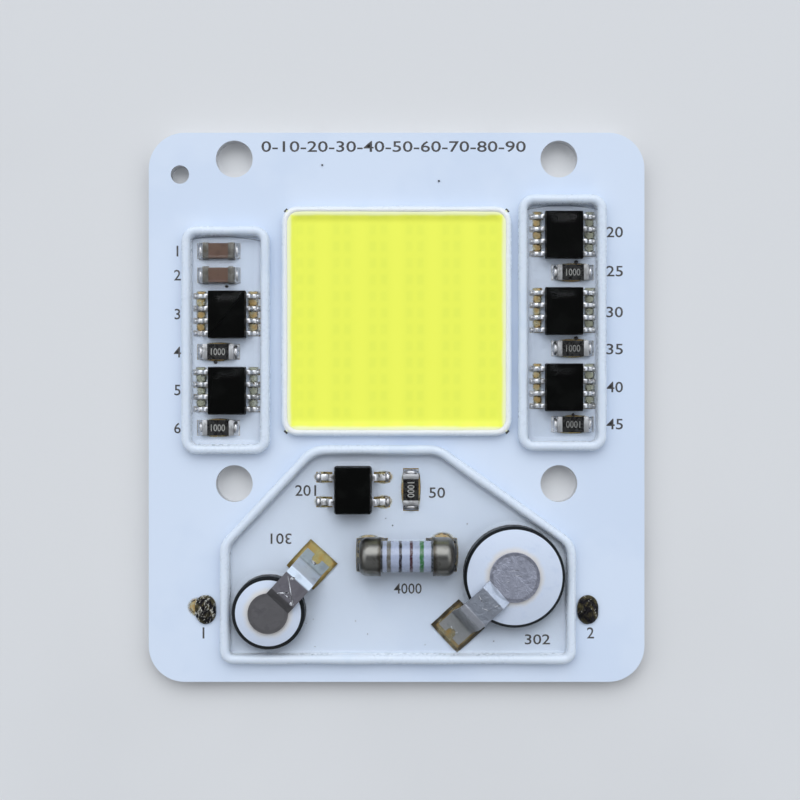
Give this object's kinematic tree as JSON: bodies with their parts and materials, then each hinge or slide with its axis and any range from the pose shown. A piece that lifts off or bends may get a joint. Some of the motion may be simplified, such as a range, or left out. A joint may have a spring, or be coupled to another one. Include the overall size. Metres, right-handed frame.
{
  "type": "led module",
  "caption": "Flat LED module: square yellow light area, driver chips, rectifier, wound resistor and disc varistors potted inside white beads on an aluminium-cored board.",
  "frame": {"origin": "centre of the four fixing holes, on the board's back face", "axes": "+Z points the way the light goes, +Y towards the board edge with the locating hole, +X to the right as seen from the light side"},
  "size_m": [0.051, 0.0565, 0.0056],
  "materials": {
    "aluminium": "rolled plate, sawn and punched edges",
    "dielectric": "pale filled resin",
    "copper": "etched foil, dull",
    "solder_mask": "white lacquer, slightly cool, satin",
    "led_die": "clear blue crystal",
    "phosphor": "soft matte silicone filled with yellow powder",
    "silicone": "white silicone bead, satin",
    "gel": "clear soft potting, glossy",
    "mould_black": "black moulding compound, fine matte",
    "tinned_lead": "tin plate, bright at the bends",
    "resistor_ceramic": "black glaze over white ceramic",
    "end_metal": "tin plate, slightly rough",
    "capacitor_ceramic": "warm brown ceramic, fine matte",
    "surge_coating": "pale lavender coating with painted bands",
    "cap_metal": "tarnished tin plate",
    "varistor_ceramic": "black sintered disc, matte",
    "varistor_silver": "fired silver, whitish",
    "tab_metal": "pressed strip, scratched",
    "solder": "bright solder with amber flux"
  },
  "bodies": {
    "root": {"aluminium_base": "aluminium", "dielectric_layer": "dielectric", "copper_circuit": "copper", "solder_mask": "solder_mask", "led_dies": "led_die", "phosphor_fill": "phosphor", "light_area_bead": "silicone", "left_bead": "silicone", "right_bead": "silicone", "lower_bead": "silicone", "left_gel": "gel", "right_gel": "gel", "lower_gel": "gel", "driver_1_body": "mould_black", "driver_1_leads": "tinned_lead", "driver_2_body": "mould_black", "driver_2_leads": "tinned_lead", "driver_3_body": "mould_black", "driver_3_leads": "tinned_lead", "driver_4_body": "mould_black", "driver_4_leads": "tinned_lead", "driver_5_body": "mould_black", "driver_5_leads": "tinned_lead", "sense_resistor_1_body": "resistor_ceramic", "sense_resistor_1_terminals": "end_metal", "sense_resistor_2_body": "resistor_ceramic", "sense_resistor_2_terminals": "end_metal", "sense_resistor_3_body": "resistor_ceramic", "sense_resistor_3_terminals": "end_metal", "sense_resistor_4_body": "resistor_ceramic", "sense_resistor_4_terminals": "end_metal", "sense_resistor_5_body": "resistor_ceramic", "sense_resistor_5_terminals": "end_metal", "bleed_resistor_body": "resistor_ceramic", "bleed_resistor_terminals": "end_metal", "capacitor_1_body": "capacitor_ceramic", "capacitor_1_terminals": "end_metal", "capacitor_2_body": "capacitor_ceramic", "capacitor_2_terminals": "end_metal", "bridge_rectifier_body": "mould_black", "bridge_rectifier_leads": "tinned_lead", "surge_resistor_body": "surge_coating", "surge_resistor_caps": "cap_metal", "small_varistor_disc": "varistor_ceramic", "small_varistor_silver": "varistor_silver", "small_varistor_tab": "tab_metal", "large_varistor_disc": "varistor_ceramic", "large_varistor_silver": "varistor_silver", "large_varistor_tab": "tab_metal", "left_solder_joints": "solder", "right_solder_joints": "solder", "lower_solder_joints": "solder", "line_terminal_solder": "solder", "neutral_terminal_solder": "solder"}
  },
  "joints": []
}
